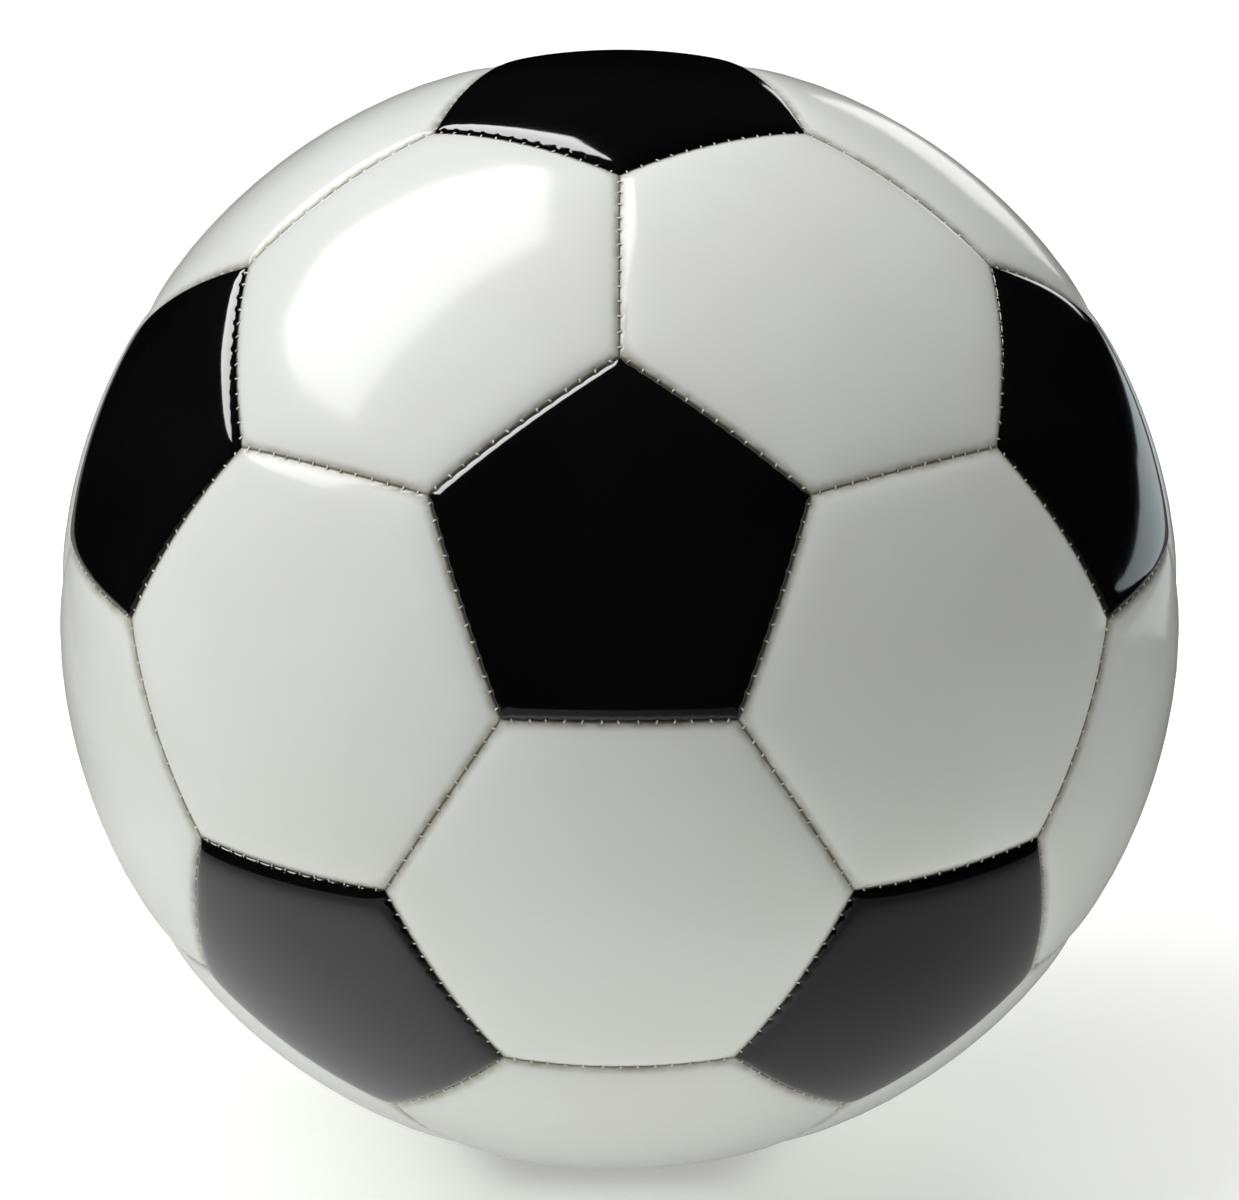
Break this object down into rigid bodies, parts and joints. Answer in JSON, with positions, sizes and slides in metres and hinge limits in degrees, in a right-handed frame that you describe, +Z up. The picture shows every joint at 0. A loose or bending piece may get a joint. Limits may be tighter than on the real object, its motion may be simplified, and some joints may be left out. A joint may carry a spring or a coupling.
{
  "type": "soccer ball",
  "caption": "Inflated soccer ball of glossy black pentagons and white hexagons sewn edge to edge round an air bladder with a needle valve, for kicking on a field.",
  "frame": {"origin": "centre of the ball", "axes": "+Z up through the middle of the top black pentagon; a black pentagon of the upper ring faces -Y, tilted up; the valve is in the white hexagon that faces +Y"},
  "size_m": [0.2182, 0.2196, 0.2198],
  "materials": {
    "panel_white": "glossy coated synthetic leather, white, fine moulded texture",
    "panel_black": "glossy coated synthetic leather, black, fine moulded texture",
    "seam_thread": "waxed polyester thread, off-white, darkened in the groove",
    "bladder_rubber": "matt black butyl rubber",
    "valve_rubber": "moulded black rubber",
    "valve_insert": "pale translucent silicone rubber",
    "lining_fabric": "woven cotton and polyester backing"
  },
  "bodies": {
    "root": {"pentagon_panel_01": "panel_black", "seam_thread_01": "seam_thread", "pentagon_panel_02": "panel_black", "seam_thread_02": "seam_thread", "pentagon_panel_03": "panel_black", "seam_thread_03": "seam_thread", "pentagon_panel_04": "panel_black", "seam_thread_04": "seam_thread", "pentagon_panel_05": "panel_black", "seam_thread_05": "seam_thread", "pentagon_panel_06": "panel_black", "seam_thread_06": "seam_thread", "pentagon_panel_07": "panel_black", "seam_thread_07": "seam_thread", "pentagon_panel_08": "panel_black", "seam_thread_08": "seam_thread", "pentagon_panel_09": "panel_black", "seam_thread_09": "seam_thread", "pentagon_panel_10": "panel_black", "seam_thread_10": "seam_thread", "pentagon_panel_11": "panel_black", "seam_thread_11": "seam_thread", "pentagon_panel_12": "panel_black", "seam_thread_12": "seam_thread", "hexagon_panel_01": "panel_white", "hexagon_panel_02": "panel_white", "hexagon_panel_03": "panel_white", "hexagon_panel_04": "panel_white", "hexagon_panel_05": "panel_white", "hexagon_panel_06": "panel_white", "hexagon_panel_07": "panel_white", "hexagon_panel_08": "panel_white", "hexagon_panel_09": "panel_white", "hexagon_panel_10": "panel_white", "hexagon_panel_11": "panel_white", "hexagon_panel_12": "panel_white", "hexagon_panel_13": "panel_white", "hexagon_panel_14": "panel_white", "hexagon_panel_15": "panel_white", "hexagon_panel_16": "panel_white", "hexagon_panel_17": "panel_white", "hexagon_panel_18": "panel_white", "hexagon_panel_19": "panel_white", "hexagon_panel_valve": "panel_white", "bladder": "bladder_rubber", "bladder_valve_patch": "bladder_rubber", "valve_body": "valve_rubber", "valve_insert": "valve_insert", "valve_panel_patch": "lining_fabric"}
  },
  "joints": []
}
